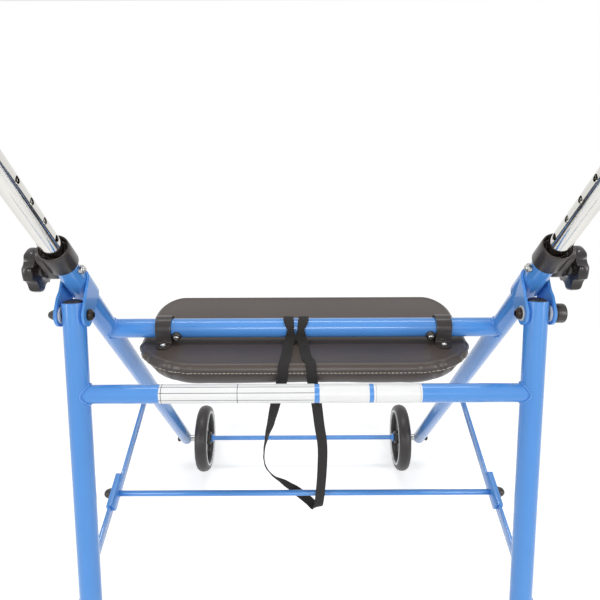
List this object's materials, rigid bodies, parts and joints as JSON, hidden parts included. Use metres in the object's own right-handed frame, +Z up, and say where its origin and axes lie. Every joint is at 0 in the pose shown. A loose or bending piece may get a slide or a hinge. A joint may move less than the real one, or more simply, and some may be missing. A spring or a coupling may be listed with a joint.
{
  "type": "folding walker",
  "caption": "Folding walker with front wheels, rear rubber feet, height-adjustable handles and a padded seat that flips over the front crossbar.",
  "frame": {"origin": "on the floor, midway between the two sides and midway between the wheels' front and the feet's back", "axes": "+X to the user's right, +Y the way the user walks, +Z up"},
  "size_m": [0.537, 0.6641, 0.9165],
  "materials": {
    "blue_paint": "gloss sky-blue paint on steel tube and sheet",
    "chrome": "bright chrome plate",
    "black_plastic": "satin moulded plastic, faintly brown black",
    "tyre_rubber": "dark grey-black solid tyre",
    "tip_rubber": "matt black rubber",
    "zinc_steel": "bright zinc plate",
    "black_steel": "blackened steel",
    "nylon": "white nylon",
    "black_vinyl": "black vinyl over foam, fine grain",
    "webbing": "black woven webbing"
  },
  "bodies": {
    "front_frame": {"front_leg_left": "blue_paint", "front_leg_right": "blue_paint", "seat_bar": "blue_paint", "hinge_bracket_left": "blue_paint", "hinge_bracket_right": "blue_paint", "collar_left": "black_plastic", "collar_right": "black_plastic", "clamp_nut_left": "zinc_steel", "clamp_nut_right": "zinc_steel", "pivot_bolt_left": "black_steel", "pivot_bolt_right": "black_steel", "pivot_cap_left": "black_plastic", "pivot_cap_right": "black_plastic", "head_washer_right": "nylon", "stay_bolt_left": "black_steel", "stay_bolt_right": "black_steel", "axle_bolt_left": "black_steel", "axle_bolt_right": "black_steel", "axle_spacer_left": "zinc_steel", "axle_spacer_right": "zinc_steel", "cross_rod": "blue_paint", "stop_screw_left": "black_plastic", "stop_screw_right": "black_plastic", "pull_strap": "webbing"},
    "rear_frame": {"rear_leg_left": "blue_paint", "rear_leg_right": "blue_paint", "rear_bar": "blue_paint", "leg_plug_left": "black_plastic", "leg_plug_right": "black_plastic", "foot_tip_left": "tip_rubber", "foot_tip_right": "tip_rubber", "pivot_washer_left": "nylon", "pivot_washer_right": "nylon"},
    "front_stays": {"front_stay_left": "blue_paint", "front_stay_right": "blue_paint", "fold_rod": "blue_paint", "rod_cap_left": "black_plastic", "rod_cap_right": "black_plastic"},
    "rear_stays": {"rear_stay_left": "blue_paint", "rear_stay_right": "blue_paint", "rear_stay_bolt_left": "black_steel", "rear_stay_bolt_right": "black_steel"},
    "seat_sleeves": {"clip_sleeve_left": "black_plastic", "clip_sleeve_right": "black_plastic"},
    "seat": {"seat_base": "black_vinyl", "seat_pad": "black_vinyl", "seat_clip_left": "black_plastic", "seat_clip_right": "black_plastic"},
    "handle_left": {"handle_tube_left": "chrome", "grip_left": "black_plastic"},
    "knob_left": {"clamp_knob_left": "black_plastic"},
    "wheel_left": {"tyre_left": "tyre_rubber", "rim_left": "black_plastic"},
    "handle_right": {"handle_tube_right": "chrome", "grip_right": "black_plastic"},
    "knob_right": {"clamp_knob_right": "black_plastic"},
    "wheel_right": {"tyre_right": "tyre_rubber", "rim_right": "black_plastic"}
  },
  "joints": [
    {"name": "fold", "type": "hinge", "parent": "front_frame", "child": "rear_frame", "pos_m": [0, -0.00121, 0.5728], "axis": [-1, 0, 0], "range_deg": [-33, 0], "deforming": ["pull_strap"]},
    {"name": "front_stay_hinge", "type": "hinge", "parent": "front_frame", "child": "front_stays", "pos_m": [0, 0.16222, 0.29473], "axis": [1, 0, 0], "range_deg": [-40.8, 0]},
    {"name": "rear_stay_hinge", "type": "hinge", "parent": "front_stays", "child": "rear_stays", "pos_m": [0, -0.00522, 0.2868], "axis": [1, 0, 0], "range_deg": [0, 128.01]},
    {"name": "seat_swing", "type": "hinge", "parent": "front_frame", "child": "seat_sleeves", "pos_m": [0, 0.06669, 0.50109], "axis": [1, 0, 0], "range_deg": [0, 33]},
    {"name": "seat_flip", "type": "hinge", "parent": "seat_sleeves", "child": "seat", "pos_m": [0, 0.06669, 0.50109], "axis": [1, 0, 0], "range_deg": [0, 193], "deforming": ["pull_strap"]},
    {"name": "handle_slide_left", "type": "slide", "parent": "front_frame", "child": "handle_left", "axis": [0, -0.4201, 0.9075], "range_m": [-0.125, 0.05]},
    {"name": "handle_slide_right", "type": "slide", "parent": "front_frame", "child": "handle_right", "axis": [0, -0.4201, 0.9075], "range_m": [-0.125, 0.05]},
    {"name": "knob_turn_left", "type": "hinge", "parent": "front_frame", "child": "knob_left", "pos_m": [-0.226, 0.01338, 0.61625], "axis": [1, 0, 0], "range_deg": [0, 540]},
    {"name": "knob_turn_right", "type": "hinge", "parent": "front_frame", "child": "knob_right", "pos_m": [0.226, 0.01338, 0.61625], "axis": [1, 0, 0], "range_deg": [0, 540]},
    {"name": "wheel_spin_left", "type": "hinge", "parent": "front_frame", "child": "wheel_left", "pos_m": [-0.189, 0.26972, 0.0625], "axis": [1, 0, 0], "continuous": true},
    {"name": "wheel_spin_right", "type": "hinge", "parent": "front_frame", "child": "wheel_right", "pos_m": [0.189, 0.26972, 0.0625], "axis": [1, 0, 0], "continuous": true}
  ],
  "couplings": [
    {"joint": "front_stay_hinge", "follows": "fold", "ratio": 1.2364},
    {"joint": "rear_stay_hinge", "follows": "fold", "ratio": -3.8792},
    {"joint": "seat_swing", "follows": "fold", "ratio": -1}
  ]
}
